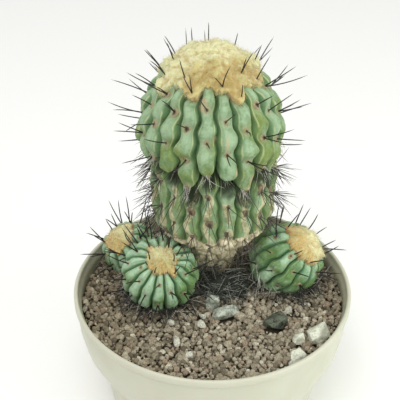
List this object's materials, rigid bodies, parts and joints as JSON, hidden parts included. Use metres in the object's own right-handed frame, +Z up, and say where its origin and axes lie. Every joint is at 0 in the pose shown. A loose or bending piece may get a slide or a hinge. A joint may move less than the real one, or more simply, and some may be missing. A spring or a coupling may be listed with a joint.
{
  "type": "potted copiapoa cactus",
  "caption": "A clumping ribbed cactus with a felted crown and dark spines, young heads at its foot, in gritty soil in a round bowl pot",
  "frame": {"origin": "middle of the pot's underside, on the surface the pot stands on", "axes": "+Z is up along the pot's axis, -Y faces the viewer of the picture, and +X is to that viewer's right"},
  "size_m": [0.15, 0.154, 0.2115],
  "materials": {
    "pot_plastic": "satin",
    "grit": "matte",
    "cactus_skin": "satin",
    "wool": "matte",
    "dry_spines": "matte",
    "pale_stone": "matte",
    "dark_stone": "matte"
  },
  "bodies": {
    "root": {"pot": "pot_plastic", "soil": "grit", "stem": "cactus_skin", "stem_wool": "wool", "head_front": "cactus_skin", "head_front_wool": "wool", "head_right": "cactus_skin", "head_right_wool": "wool", "head_back": "cactus_skin", "head_back_wool": "wool", "shed_spines": "dry_spines", "stone_block": "pale_stone", "stone_slab": "pale_stone", "stone_dark": "dark_stone", "stone_pale": "pale_stone", "stone_small": "pale_stone", "stone_flat": "pale_stone"}
  },
  "joints": []
}
